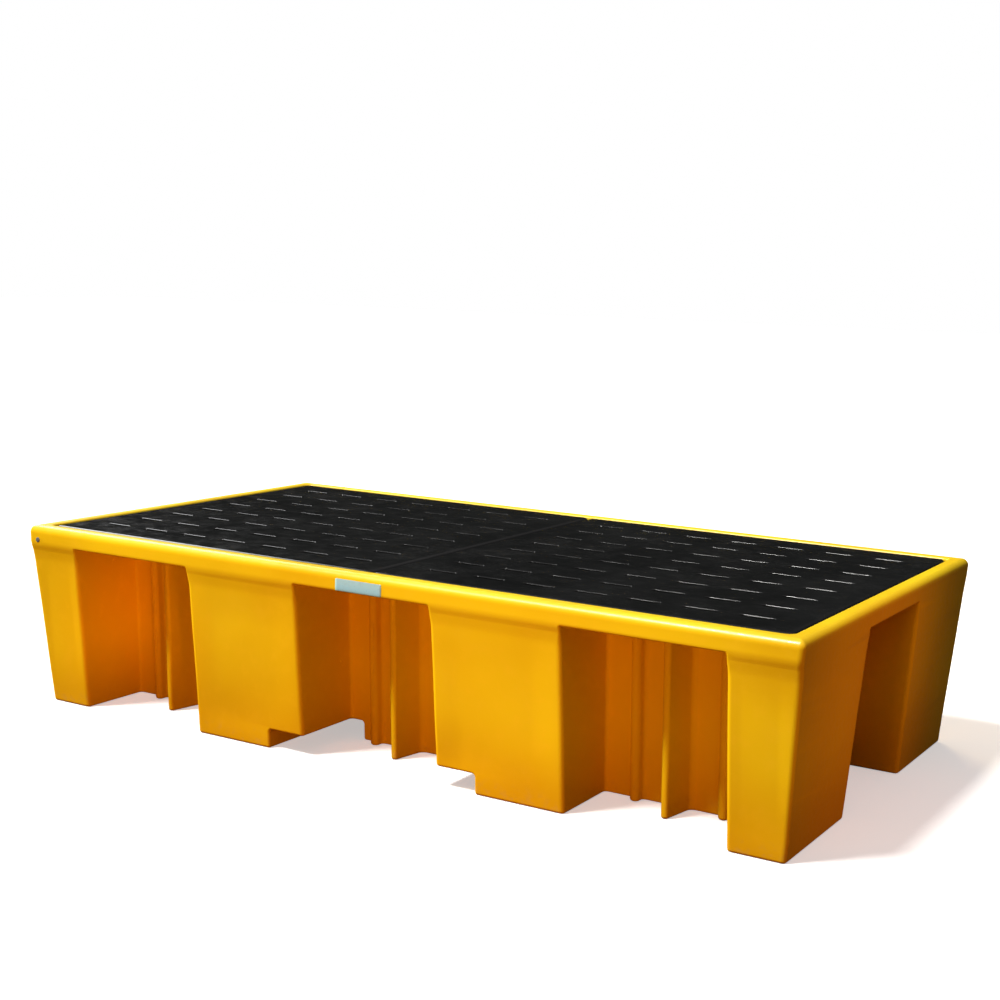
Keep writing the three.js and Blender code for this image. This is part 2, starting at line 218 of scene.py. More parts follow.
# Studio.
CAMERA_PLACE = (2.508, -4.096, 1.375)
CAMERA_YAW = 0.5455
CAMERA_PITCH = 0.1423
CAMERA_ROLL = 0.0273
CAMERA_LENS = 57.7
CAMERA_SENSOR = 36
KEY_FROM = (-0.304, -0.434, 0.848)
KEY_STRENGTH = 4.15
KEY_ANGLE = math.radians(10)
KEY_COLOUR = (1, 0.98, 0.94)
HORIZON_COLOUR = (0.015, 0.015, 0.015)
LOW_SKY = 0.22  # the sky stays as dark as the horizon up to here, as a share of the height
ZENITH_COLOUR = (0.46, 0.43, 0.43)
BACKDROP_COLOUR = (1, 1, 1)
FLOOR_GLOW = 0.45
FLOOR_HALF = 40
LAMPS = {  # place, aim, watts, size, cone's angle (none: a panel), squeeze, shows in reflections, colour
    "front_fill": ((2.0, -6.9, 1.0), (0, 0, 0.25), 60, 3, None, 1, False, (1, 0.30, 0.03)),
    "bay_fill": ((1.25, -3.4, 0.5), (-1.0, -0.5, 0.3), 150, 0.35, 100, 1, False, (1, 0.34, 0.05)),
    "far_bay_fill": ((0.75, -1.9, 0.35), (-1.06, -0.54, 0.27), 110, 0.15, 15, 0.6, False, (1, 0.27, 0.03)),
    "end_fill": ((4.2, 0.35, 0.9), (1.24, -0.18, 0.38), 140, 0.3, 28, 1, False, (1, 0.24, 0.02)),
    "back_fill": ((-3.5, 5.5, 2.2), (0, 0, 0.25), 400, 3, None, 1, False, (1, 0.72, 0.4)),
    "edge_fill": ((-9, -1.25, 0.9), (0, -0.68, 0.3), 850, 0.5, None, 1, False, (1, 0.75, 0.25)),
    "softbox": ((-5.2, 2.0, 4.2), (-0.6, -0.6, 0.5), 170, 2.5, None, 1, True, (1, 1, 1)),
}


# ---------------------------------------------------------------- distances


def round_max(a, b, radius):
    """The greater of two distances, with the edge between them rounded."""
    corner = np.hypot(np.maximum(a + radius, 0), np.maximum(b + radius, 0))
    return np.minimum(np.maximum(a, b), -radius) + corner


def round_min(a, b, radius):
    """The lesser of two distances, with the corner between them filleted."""
    return -round_max(-a, -b, radius)


def mix(low, high, share):
    return low + (high - low) * share


def smooth(share):
    share = np.clip(share, 0, 1)
    return share * share * (3 - 2 * share)


def rounded_rectangle(x, y, half_x, half_y, radius):
    return round_max(np.abs(x) - half_x, np.abs(y) - half_y, radius)


def leg_dish(along, z):
    """How far a long side's leg faces sink in under the rim, as moulded faces do when they cool."""
    middle = np.clip(1 - np.abs(along - LEG_MIDDLE) / LEG_HALF, 0, 1)
    outer = np.clip(1 - np.abs(along - CORNER_LEG_MIDDLE) / CORNER_LEG_HALF, 0, 1)
    height = smooth(z / DISH_FOOT_FADE) * smooth((RIM_FOOT - z) / TOP_FADE)
    return (LEG_DISH * smooth(2 * middle) + CORNER_LEG_DISH * smooth(2 * outer)) * height


def sag(x, y, z):
    """How far the cooled moulding has pulled in along Y at a point, with no two legs the same."""
    tilted, steep, small = (a * x + b * z for a, b in (WAVE_TILTED, WAVE_STEEP, WAVE_SMALL))
    waves = np.sin(tilted + WAVE_PHASE) * np.cos(steep) + WAVE_SMALL_SHARE * np.sin(small)
    depth = WAVE_DEPTH * waves * smooth((RIM_FOOT - z) / TOP_FADE) * smooth(z / WAVE_FOOT_FADE)
    for place_x, place_z, width, deep in DENTS:
        away = ((x - place_x) ** 2 + (z - place_z) ** 2) / width**2
        depth = depth + deep * np.exp(-away) * smooth(z / DENT_FOOT_FADE)
    return depth * np.sign(y) * smooth(np.abs(y) / SAG_FADE)


def sump_body(x, y, z):
    """The tapered block, before the bays and the channels are taken out of it.

    Its ends are straight. Its long sides swell out to an upright rim."""
    lean = 1 - np.clip(z, 0, RIM_SHOULDER) / RIM_SHOULDER
    recess = LEG_RECESS * (z / LEG_TOP) * smooth((RIM_FOOT - z) / (RIM_FOOT - LEG_TOP))
    upright = smooth((z - RIM_SWELL) / (RIM_FLAT - RIM_SWELL))
    inset_x = mix(RIM_INSET, END_LEAN, lean)
    inset_y = mix(SIDE_LEAN * lean + recess, RIM_INSET, upright)
    side_x = x - (HALF_LENGTH - inset_x)
    side_y = y - (HALF_WIDTH - inset_y) + leg_dish(x, z)
    plan = round_max(side_x, side_y, mix(FOOT_CORNER, RIM_CORNER, np.clip(z / HEIGHT, 0, 1)))
    return round_max(plan, z - HEIGHT, RIM_ROUNDING)


def bay(along, out, z, shape):
    """The space of one bay. along is the distance from its middle, and out points out of the sump."""
    rise = np.clip(z / BAY_ROOF, -BAY_OVERSHOOT, 1 + BAY_OVERSHOOT)
    wall = out - mix(*shape["back"], rise)
    slope = math.atan2(FIN_HALF - FIN_TIP_HALF, FIN_HEIGHT)
    flank = (along - FIN_HALF) * math.cos(slope) + wall * math.sin(slope)
    fin = round_max(flank, wall - FIN_HEIGHT, FIN_TIP_ROUNDING)
    bump = np.hypot(along - BUMP_OFFSET, wall - BUMP_HEIGHT + BUMP_ROUNDING) - BUMP_ROUNDING
    ribbed = round_min(round_min(wall, fin, FIN_FILLET), bump, BUMP_FILLET)
    space = round_max(-ribbed, along - mix(*shape["half"], rise), BAY_FILLET)
    return round_max(space, z - BAY_ROOF, BAY_ROOF_FILLET)


def sump_outside(x, y, z):
    """The sump as if it were solid, with its bays and fork channels."""
    x, y = np.abs(x), np.abs(y)
    side_along = np.where(x > SIDE_BAY_SPACING / 2, np.abs(x - SIDE_BAY_SPACING), x)
    mouth = mix(BAY_MOUTH_ROUNDING, BAY_ROOF_ROUNDING, smooth((z - MOUTH_CHANGE) / MOUTH_CHANGE_HEIGHT))
    outside = round_max(sump_body(x, y, z), -bay(side_along, y, z, SIDE_BAY), mouth)
    outside = round_max(outside, -bay(y, x, z, END_BAY), mouth)
    channel = round_max(np.abs(x - CHANNEL_CENTRE) - CHANNEL_HALF, z - CHANNEL_HEIGHT, CHANNEL_FILLET)
    outside = round_max(outside, -channel, FOOT_ROUNDING)
    return round_max(outside, -z, FOOT_ROUNDING)


def sump(x, y, z):
    """The moulded skin, with the deck's recess and ledge."""
    outside = sump_outside(x, y, z)
    inner = rounded_rectangle(x, y, HALF_LENGTH - RIM_WIDTH, HALF_WIDTH - RIM_WIDTH, RECESS_CORNER)
    recess = round_max(inner, LEDGE - z, RECESS_FILLET)
    mouth_x, mouth_y = (half - RIM_WIDTH - LEDGE_WIDTH for half in (HALF_LENGTH, HALF_WIDTH))
    mouth = rounded_rectangle(x, y, mouth_x, mouth_y, RECESS_CORNER)
    recess_skin = round_max(recess - WALL, -mouth, LIP_ROUNDING)
    hollow = np.maximum(outside + WALL, -recess_skin)
    return np.maximum(round_max(outside, -recess, RIM_INNER_ROUNDING), -hollow)


def from_cell_middle(along, pitch, cells):
    """The distance along a row of cells from the middle of the nearest one."""
    half = (cells - 1) / 2
    return along - (np.clip(np.round(along / pitch + half), 0, cells - 1) - half) * pitch


def deck_panel(x, y, z):
    """A skin on a grid of ribs, open below, with a drain slot over each cell."""
    pitch_x = 2 * (DECK_HALF_X - DECK_BORDER) / DECK_CELLS_X
    pitch_y = 2 * (DECK_HALF_Y - DECK_BORDER) / DECK_CELLS_Y
    cell_x = from_cell_middle(x, pitch_x, DECK_CELLS_X)
    cell_y = from_cell_middle(y, pitch_y, DECK_CELLS_Y)
    edge = rounded_rectangle(x, y, DECK_HALF_X, DECK_HALF_Y, DECK_CORNER)
    wide = smooth(1 - 2 * np.abs(cell_x) / pitch_x) * smooth(1 - 2 * np.abs(cell_y) / pitch_y)
    plate = round_max(edge, z - DECK_TOP + DECK_SINK * wide, DECK_EDGE_ROUNDING)
    plate = round_max(plate, DECK_FOOT - z, DECK_FOOT_ROUNDING)
    cell_half_x, cell_half_y = (pitch_x - DECK_RIB) / 2, (pitch_y - DECK_RIB) / 2
    cell = rounded_rectangle(cell_x, cell_y, cell_half_x, cell_half_y, CELL_CORNER)
    cell = round_max(cell, z - (DECK_TOP - DECK_SKIN), CELL_FILLET)
    past_end = np.maximum(np.abs(cell_x) - (SLOT_HALF_LENGTH - SLOT_HALF_WIDTH), 0)
    slot = np.hypot(past_end, cell_y) - SLOT_HALF_WIDTH
    return round_max(round_max(plate, -cell, RIB_ROUNDING), -slot, SLOT_LIP)


def support_column(x, y, z):
    """A tapered column, open below, with a notch in each side of its foot."""
    half = mix(COLUMN_FOOT_HALF, COLUMN_TOP_HALF, (z - COLUMN_FOOT) / (COLUMN_TOP - COLUMN_FOOT))
    outside = rounded_rectangle(x, y, half, half, COLUMN_CORNER)
    outside = round_max(outside, z - COLUMN_TOP, COLUMN_ROUNDING)
    outside = round_max(outside, COLUMN_FOOT - z, COLUMN_LIP)
    inner = half - COLUMN_WALL
    hollow = rounded_rectangle(x, y, inner, inner, COLUMN_CORNER - COLUMN_WALL)
    hollow = round_max(hollow, z - (COLUMN_TOP - COLUMN_WALL), COLUMN_ROUNDING)
    notch = np.minimum(np.abs(x), np.abs(y)) - NOTCH_HALF
    notch = round_max(notch, z - COLUMN_FOOT - NOTCH_HEIGHT, NOTCH_ROUNDING)
    return round_max(round_max(outside, -hollow, COLUMN_LIP), -notch, COLUMN_LIP)


# ---------------------------------------------------------------- meshes from distances


GRADIENT_REACH = 0.4 * MM
NORMAL_REACH = 1 * MM
SHARP_COSINE = 0.85  # a normal further than this from its faces' is theirs instead
SLAB = 16  # layers of the grid worked out at a time
SETTLE_ROUNDS = 3
LEAST_SLOPE_SQUARED = 0.25
MIDDLE_SHARE = 0.1  # a vertex within this share of a cell from a middle plane is put on it
MERGE_SHARE = 0.005  # vertices within this share of a cell are merged
TINY = 1e-9


def gradient(distance, points, reach=GRADIENT_REACH):
    """The slope of a distance at each point, which points out of the surface."""
    columns = []
    for axis in range(3):
        shift = np.zeros(3)
        shift[axis] = reach
        columns.append(distance(*(points + shift).T) - distance(*(points - shift).T))
    return np.stack(columns, axis=1) / (2 * reach)


def surface_net(distance, size, step):
    """Vertices and quads of the quarter x >= 0, y >= 0 of the surface where the distance is zero."""
    axes = [(np.arange(math.ceil(length / step) + 2) - 0.5) * step for length in size[:2]]
    axes.append(np.arange(size[2][0] - 1.5 * step, size[2][1] + 2 * step, step))
    shape = tuple(len(axis) for axis in axes)
    field = np.empty(shape, np.float32)
    grid_y, grid_z = np.meshgrid(axes[1].astype(np.float32), axes[2].astype(np.float32), indexing="ij")
    for i in range(0, shape[0], SLAB):
        slab = axes[0][i : i + SLAB].astype(np.float32)[:, None, None]
        field[i : i + SLAB] = distance(slab, grid_y[None], grid_z[None])
    inside = field < 0
    cells = tuple(n - 1 for n in shape)
    corners = [(a, b, c) for a in (0, 1) for b in (0, 1) for c in (0, 1)]

    def corner_view(array, corner):
        return array[tuple(slice(o, o + n) for o, n in zip(corner, cells))]

    some = np.zeros(cells, bool)
    every = np.ones(cells, bool)
    for corner in corners:
        part = corner_view(inside, corner)
        some |= part
        every &= part
    active = some & ~every
    where = np.argwhere(active)
    number = np.full(cells, -1, np.int32)
    number[active] = np.arange(len(where), dtype=np.int32)
    values = {corner: corner_view(field, corner)[active].astype(float) for corner in corners}
    total = np.zeros((len(where), 3))
    crossings = np.zeros(len(where))
    for first in corners:
        for axis in range(3):
            if first[axis]:
                continue
            second = tuple(1 if k == axis else first[k] for k in range(3))
            a, b = values[first], values[second]
            crossed = (a < 0) != (b < 0)
            point = np.tile(np.array(first, float), (len(where), 1))
            point[:, axis] += np.where(crossed, a / np.where(crossed, a - b, 1), 0)
            total += point * crossed[:, None]
            crossings += crossed
    points = (where + total / crossings[:, None]) * step + np.array([axis[0] for axis in axes])
    quads = []
    for axis in range(3):
        low = [slice(None)] * 3
        high = [slice(None)] * 3
        low[axis], high[axis] = slice(None, -1), slice(1, None)
        a, b = inside[tuple(low)], inside[tuple(high)]
        one, two = [k for k in range(3) if k != axis]
        inner = [slice(None)] * 3
        inner[one] = slice(1, -1)
        inner[two] = slice(1, -1)
        changed = np.argwhere((a != b)[tuple(inner)])
        changed[:, [one, two]] += 1
        rows = changed.T.copy()
        leaving = a[tuple(rows)]
        ring = []
        for back_one, back_two in ((1, 1), (0, 1), (0, 0), (1, 0)):
            cell = rows.copy()
            cell[one] -= back_one
            cell[two] -= back_two
            ring.append(number[tuple(cell)])
        ring = np.stack(ring, axis=1)
        flip = leaving if axis == 1 else ~leaving
        ring[flip] = ring[flip][:, ::-1]
        quads.append(ring)
    return points, np.concatenate(quads)


def settle(distance, points, step):
    """Moves points that lie near the surface onto it."""
    for _ in range(SETTLE_ROUNDS):
        slope = gradient(distance, points)
        length = np.maximum((slope * slope).sum(axis=1), LEAST_SLOPE_SQUARED)
        move = np.clip(distance(*points.T), -step / 2, step / 2) / length
        points = points - move[:, None] * slope
    return points


def thinned(points, quads, faces):
    """The same surface with about this many triangles."""
    mesh = bpy.data.meshes.new("full")
    mesh.from_pydata(points, [], quads)
    holder = bpy.data.objects.new("full", mesh)
    bpy.context.scene.collection.objects.link(holder)
    decimate = holder.modifiers.new("fewer faces", "DECIMATE")
    decimate.ratio = faces / (2 * len(quads))
    decimate.use_collapse_triangulate = True
    seen = holder.evaluated_get(bpy.context.evaluated_depsgraph_get())
    thin = bpy.data.meshes.new_from_object(seen)
    bpy.data.objects.remove(holder)
    bpy.data.meshes.remove(mesh)
    return thin


def no_sag(x, y, z):
    return 0 * z


def moulded(distance, size, step, faces, places, pulled=no_sag):
    """The surface where the distance is zero, a quarter mirrored twice, once for each place.

    size is the half length, the half width and the lowest and highest level.
    places gives each object's name and where the middle of its footprint is.
    pulled is how far each point is then moved towards lesser Y."""
    points, quads = surface_net(distance, size, step)
    points = settle(distance, points, step)
    thin = thinned(points, quads.tolist(), faces / 4)
    whole = bmesh.new()
    whole.from_mesh(thin)
    bpy.data.meshes.remove(thin)
    for vertex in whole.verts:
        for axis in (0, 1):
            if abs(vertex.co[axis]) < MIDDLE_SHARE * step:
                vertex.co[axis] = 0
    for axis in (0, 1):
        geometry = whole.verts[:] + whole.edges[:] + whole.faces[:]
        copied = bmesh.ops.duplicate(whole, geom=geometry)["geom"]
        for vertex in (item for item in copied if isinstance(item, bmesh.types.BMVert)):
            vertex.co[axis] *= -1
        turned = [item for item in copied if isinstance(item, bmesh.types.BMFace)]
        bmesh.ops.reverse_faces(whole, faces=turned)
        bmesh.ops.remove_doubles(whole, verts=whole.verts, dist=MERGE_SHARE * step)
    mesh = bpy.data.meshes.new("moulding")
    whole.to_mesh(mesh)
    whole.free()
    mesh.shade_smooth()
    points = np.empty(len(mesh.vertices) * 3)
    mesh.vertices.foreach_get("co", points)
    points = points.reshape(-1, 3)
    points[:, 1] -= pulled(*points.T)
    mesh.vertices.foreach_set("co", points.ravel())
    normals = surface_normals(lambda x, y, z: distance(x, y + pulled(x, y, z), z), mesh, points)
    made = []
    for name, centre in places.items():
        copy = mesh.copy()
        copy.transform(Matrix.Translation((*centre, 0)))
        copy.normals_split_custom_set_from_vertices(normals)
        made.append(bpy.data.objects.new(name, copy))
        bpy.context.scene.collection.objects.link(made[-1])
    bpy.data.meshes.remove(mesh)
    return made


def surface_normals(distance, mesh, points):
    """Each vertex's normal from the distance, or from its faces where an edge is too sharp for that."""
    normals = gradient(distance, points, NORMAL_REACH)
    normals /= np.linalg.norm(normals, axis=1)[:, None] + TINY
    faceted = np.empty(len(mesh.vertices) * 3)
    mesh.vertices.foreach_get("normal", faceted)
    faceted = faceted.reshape(-1, 3)
    apart = (normals * faceted).sum(axis=1) < SHARP_COSINE
    normals[apart] = faceted[apart]
    return normals


def make_mouldings():
    """The sump, the two deck panels and the six columns."""
    sump_size = (HALF_LENGTH, HALF_WIDTH, (0, HEIGHT))
    deck_size = (DECK_HALF_X, DECK_HALF_Y, (DECK_FOOT, DECK_TOP))
    column_size = (COLUMN_FOOT_HALF, COLUMN_FOOT_HALF, (COLUMN_FOOT, COLUMN_TOP))
    deck_places = {"left_deck_moulding": (-DECK_CENTRE_X, 0), "right_deck_moulding": (DECK_CENTRE_X, 0)}
    column_places = {}
    for node in COLUMNS:
        low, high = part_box(node)
        column_places[node.replace("support", "moulded")] = ((low + high) / 2).xy
    body = moulded(sump, sump_size, SUMP_CELL, SUMP_FACES, {"sump_moulding": (0, 0)}, sag)
    decks = moulded(deck_panel, deck_size, DECK_CELL, DECK_FACES, deck_places)
    columns = moulded(support_column, column_size, COLUMN_CELL, COLUMN_FACES, column_places)
    return body[0], decks, columns


# ---------------------------------------------------------------- label and plug


def rim_face(x, z):
    """The nearest points of the rim's front face to (x, z), and the directions out of it."""
    x, z = np.broadcast_arrays(x, z)
    points = np.stack([x, np.full(x.shape, -HALF_WIDTH), z], axis=-1).reshape(-1, 3)
    points = settle(sump, points, RIM_WIDTH)
    return points, gradient(sump, points)


def make_label():
    """A thin film with rounded corners, which follows the rim's face."""
    rise = LABEL_HEIGHT / 2 * np.sin(np.radians(LABEL_ROW_ANGLES))[:, None]
    across = np.linspace(-1, 1, LABEL_COLUMNS)
    past = np.maximum(np.abs(rise) - (LABEL_HEIGHT / 2 - LABEL_CORNER), 0)
    half = LABEL_WIDTH / 2 - LABEL_CORNER + np.sqrt(np.maximum(LABEL_CORNER**2 - past**2, 0))
    points, outward = rim_face(across * half, LABEL_Z + rise)
    mesh = bmesh.new()
    verts = [mesh.verts.new(point) for point in points + LABEL_STAND * outward]
    lines = [verts[start : start + len(across)] for start in range(0, len(verts), len(across))]
    for low, high in zip(lines, lines[1:]):
        for a, b, c, d in zip(low, low[1:], high[1:], high):
            mesh.faces.new((a, b, c, d)).smooth = True
    label = finished("label_film", mesh)
    film = label.modifiers.new("film", "SOLIDIFY")
    film.thickness = LABEL_FILM
    film.offset = -1
    return label


def turned(profile, steps):
    """A bmesh of a profile of (radius, height) turned about Z, from the axis back to the axis."""
    mesh = bmesh.new()
    rings = []
    for radius, height in profile:
        count = steps if radius else 1
        angles = [2 * math.pi * i / count for i in range(count)]
        ring = [(radius * math.cos(angle), radius * math.sin(angle), height) for angle in angles]
        rings.append([mesh.verts.new(point) for point in ring])
    for upper, lower in zip(rings, rings[1:]):
        for i in range(steps):
            corners = [upper[i % len(upper)], lower[i % len(lower)]]
            corners += [lower[(i + 1) % len(lower)], upper[(i + 1) % len(upper)]]
            mesh.faces.new(list(dict.fromkeys(corners))).smooth = True
    return mesh


def dome_on(name, point, outward, radius, height, dimple):
    """A low dome standing on a surface, with a dimple in its middle."""
    profile = []
    for angle in (math.radians(degrees) for degrees in DOME_ANGLES):
        share = math.sin(angle)
        dip = dimple * math.exp(-((share / DIMPLE_SHARE) ** 2))
        profile.append((radius * share, height * (math.cos(angle) - dip)))
    profile.append((0, 0))
    mesh = turned(profile, DOME_STEPS)
    turn = Vector(outward).to_track_quat("Z", "Y").to_matrix().to_4x4()
    bmesh.ops.transform(mesh, matrix=Matrix.Translation(point) @ turn, verts=mesh.verts)
    return finished(name, mesh)


def make_plug():
    """The head of a push-in plug."""
    points, outward = rim_face(PLUG_X, PLUG_Z)
    return dome_on("rim_plug_head", points[0], outward[0], PLUG_RADIUS, PLUG_HEIGHT, PLUG_DIMPLE)


def make_pips():
    """Small round marks that vents in the mould leave on the bays' walls."""
    pips = []
    for number, place in enumerate(PIPS, 1):
        point = settle(sump, np.array([place]), PIP_SEARCH)
        outward = gradient(sump, point)[0]
        pips.append(dome_on(f"mould_pip_{number}", point[0], outward, PIP_RADIUS, PIP_HEIGHT, 0))
    return pips


def finished(name, mesh):
    """An object made of a bmesh."""
    data = bpy.data.meshes.new(name)
    mesh.to_mesh(data)
    mesh.free()
    thing = bpy.data.objects.new(name, data)
    bpy.context.scene.collection.objects.link(thing)
    return thing


# ---------------------------------------------------------------- materials

MIX_FIRST, MIX_SECOND, MIX_RESULT = 6, 7, 2  # the colour sockets of a Mix node
SCRATCH_STRETCH = (1, 26, 8)
SCRATCH_PATCH = 6  # a patch of scratches is this many times as large as their spacing


class Recipe:
    """A plastic, and short ways to add nodes to it. Its textures lie in the object's own space."""

    def __init__(self, name, **values):
        self.material = bpy.data.materials.new(name)
        self.material.use_nodes = True
        self.tree = self.material.node_tree
        self.shader = self.tree.nodes["Principled BSDF"]
        self.place = self.tree.nodes.new("ShaderNodeTexCoord").outputs["Object"]
        for socket, value in values.items():
            self.shader.inputs[socket.replace("_", " ")].default_value = value

    def node(self, kind, inputs, **settings):
        """A new node, with each input linked to a socket or set to a value."""
        made = self.tree.nodes.new("ShaderNode" + kind)
        for name, value in settings.items():
            setattr(made, name, value)
        for key, value in inputs.items():
            if isinstance(value, bpy.types.NodeSocket):
                self.tree.links.new(value, made.inputs[key])
            else:
                made.inputs[key].default_value = value
        return made

    def noise(self, scale, detail=2, roughness=0.5, stretch=(1, 1, 1), turn=(0, 0, 0)):
        """Noise from 0 to 1, with scale cells to a metre."""
        mapping = {"Vector": self.place, "Scale": stretch, "Rotation": turn}
        place = self.node("Mapping", mapping).outputs[0]
        inputs = {"Vector": place, "Scale": scale, "Detail": detail, "Roughness": roughness}
        return self.node("TexNoise", inputs).outputs[0]

    def ramp(self, value, start, end, low=0.0, high=1.0):
        """low up to start, high from end, and a smooth step between them."""
        inputs = {"Value": value, "From Min": start, "From Max": end, "To Min": low, "To Max": high}
        return self.node("MapRange", inputs, interpolation_type="SMOOTHSTEP").outputs[0]

    def sum(self, a, b, operation="ADD"):
        """a and b added, or put together by another operation."""
        return self.node("Math", {0: a, 1: b}, operation=operation).outputs[0]

    def times(self, a, b):
        return self.sum(a, b, "MULTIPLY")

    def height(self):
        """The height above the ground."""
        return self.node("SeparateXYZ", {0: self.place}).outputs["Z"]

    def blend(self, share, first, second):
        """The first colour, with a share of the second."""
        made = self.node("Mix", {"Factor": share}, data_type="RGBA")
        for socket, colour in ((made.inputs[MIX_FIRST], first), (made.inputs[MIX_SECOND], second)):
            if isinstance(colour, bpy.types.NodeSocket):
                self.tree.links.new(colour, socket)
            else:
                socket.default_value = (*colour, 1)
        return made.outputs[MIX_RESULT]

    def scratches(self, scale, thinness, turns):
        """Fine straight lines in several directions, 1 on a line and 0 beside it."""
        lines = None
        for turn in turns:
            long = self.noise(scale, 1, 0.4, SCRATCH_STRETCH, (0, 0, turn))
            patch = self.noise(scale / SCRATCH_PATCH, 1, 0.5, turn=(turn, turn, 0))
            off_line = self.sum(self.sum(long, 0.5, "SUBTRACT"), 0, "ABSOLUTE")
            line = self.ramp(off_line, 0, thinness, 1, 0)
            line = self.times(line, self.ramp(patch, 0.55, 0.7))
            lines = line if lines is None else self.sum(lines, line, "MAXIMUM")
        return lines

    def finish(self, colour, roughness, bumps):
        """Links the look. bumps are (height, depth in metres), the broadest first."""
        self.tree.links.new(colour, self.shader.inputs["Base Color"])
        self.tree.links.new(roughness, self.shader.inputs["Roughness"])
        normal = None
        for height, depth in bumps:
            inputs = {"Height": height, "Distance": depth}
            if normal is not None:
                inputs["Normal"] = normal
            normal = self.node("Bump", inputs).outputs[0]
        self.tree.links.new(normal, self.shader.inputs["Normal"])
        return self.material


def sump_plastic():
    """Amber polyethylene: cloudy colour, orange peel, long soft waves, scuffed feet, and painted shade
    that darkens the feet.
    """
    r = Recipe("amber_polyethylene", IOR=1.5)
    drift = r.ramp(r.noise(1.7, 2), 0.35, 0.65)
    colour = r.blend(drift, *AMBER)
    flow = r.ramp(r.noise(26, 5, 0.62), 0.46, 0.74, 0, 0.3)
    colour = r.blend(flow, colour, AMBER_FLOW)
    # painted shade: the amber turns darker and redder towards the ground
    colour = r.blend(r.ramp(r.height(), 0, PAINTED_SHADE_HEIGHT, PAINTED_SHADE_SHARE, 0), colour, AMBER_PAINTED_SHADE)
    foot = r.ramp(r.height(), SCUFF_BOTTOM, SCUFF_TOP, 1, 0)
    scuff = r.times(foot, r.ramp(r.noise(38, 6, 0.7), 0.5, 0.62))
    colour = r.blend(r.times(scuff, SCUFF_SHARE), colour, AMBER_SCUFF)
    lines = r.scratches(46, 0.006, (0.3, 1.3, 2.4))
    colour = r.blend(r.times(lines, 0.18), colour, AMBER_SCRATCH)
    grain = r.ramp(r.noise(70, 5, 0.6), 0.3, 0.7, 0.28, 0.4)
    roughness = r.sum(r.sum(grain, r.times(scuff, 0.25)), r.times(lines, 0.2))
    wave = r.noise(5.5, 1)
    peel = r.noise(330, 2, 0.5)
    bumps = [(wave, 1.6 * MM), (peel, 0.12 * MM), (r.sum(scuff, lines), -0.05 * MM)]
    return r.finish(colour, roughness, bumps)


def deck_plastic():
    """Glossy black polyethylene: faint flow marks, fine scratches and a little dust."""
    r = Recipe("black_polyethylene", IOR=1.46, Specular_IOR_Level=0.4)
    drift = r.ramp(r.noise(3, 3), 0.35, 0.65)
    colour = r.blend(drift, *BLACK)
    lines = r.scratches(30, 0.005, (0.2, 0.9, 1.7, 2.6))
    colour = r.blend(r.times(lines, 0.5), colour, BLACK_SCRATCH)
    dust = r.ramp(r.noise(420, 3, 0.7), 0.66, 0.74)
    dust = r.times(dust, r.ramp(r.noise(5, 4), 0.4, 0.7))
    colour = r.blend(r.times(dust, 0.5), colour, BLACK_DUST)
    grain = r.ramp(r.noise(22, 5, 0.65), 0.3, 0.72, 0.13, 0.27)
    roughness = r.sum(r.sum(grain, r.times(lines, 0.25)), r.times(dust, 0.3))
    bumps = [(r.noise(7, 2), 0.8 * MM), (r.noise(260, 2), 0.03 * MM), (lines, -0.02 * MM)]
    return r.finish(colour, roughness, bumps)


def column_plastic():
    """Dull black moulded polyethylene."""
    r = Recipe("dull_polyethylene", IOR=1.46)
    drift = r.ramp(r.noise(12, 4, 0.6), 0.35, 0.65)
    colour = r.blend(drift, *DULL_BLACK)
    lines = r.scratches(60, 0.006, (0.4, 1.9))
    colour = r.blend(r.times(lines, 0.4), colour, DULL_SCRATCH)
    roughness = r.ramp(r.noise(40, 4, 0.6), 0.3, 0.7, 0.42, 0.58)
    return r.finish(colour, roughness, [(r.noise(16, 1), 0.8 * MM), (r.noise(300, 2), 0.1 * MM)])


def label_film():
    """Blank pale blue-white vinyl, a little stained, with small wrinkles."""
    r = Recipe("blank_vinyl", IOR=1.5)
    tint = r.ramp(r.height(), LABEL_Z - LABEL_HEIGHT / 2, LABEL_Z + LABEL_HEIGHT / 2)
    colour = r.blend(tint, *VINYL)
    stain = r.ramp(r.noise(60, 5, 0.65), 0.5, 0.7, 0, 0.35)
    colour = r.blend(stain, colour, VINYL_STAIN)
    roughness = r.ramp(r.noise(90, 3), 0.3, 0.7, 0.26, 0.42)
    return r.finish(colour, roughness, [(r.noise(40, 2), 0.3 * MM), (r.noise(500, 2), 0.03 * MM)])


def plug_plastic():
    """Grey nylon, rubbed lighter in places."""
    r = Recipe("grey_nylon", IOR=1.5)
    colour = r.blend(r.ramp(r.noise(300, 3), 0.35, 0.65), *NYLON)
    roughness = r.ramp(r.noise(500, 3), 0.3, 0.7, 0.35, 0.55)
    return r.finish(colour, roughness, [(r.noise(900, 2), 0.05 * MM)])


def floor_finish():
    """Matt pale studio floor, lit a little from below so that shadows on it stay light."""
    r = Recipe("studio_floor", IOR=1.3, Emission_Color=(1, 1, 1, 1), Emission_Strength=FLOOR_GLOW)
    colour = r.blend(r.ramp(r.noise(0.9, 3), 0.3, 0.7), *PALE_FLOOR)
    roughness = r.ramp(r.noise(6, 3), 0.3, 0.7, 0.8, 0.9)
    return r.finish(colour, roughness, [(r.noise(120, 2), 0.1 * MM)])


def bounce_finish():
    """Matt amber floor, as the ground looks beside so much yellow plastic."""
    r = Recipe("studio_bounce", IOR=1.3)
    colour = r.blend(r.ramp(r.noise(0.9, 3), 0.3, 0.7), *AMBER_FLOOR)
    roughness = r.ramp(r.noise(6, 3), 0.3, 0.7, 0.8, 0.9)
    return r.finish(colour, roughness, [(r.noise(120, 2), 0.1 * MM)])


# ---------------------------------------------------------------- studio


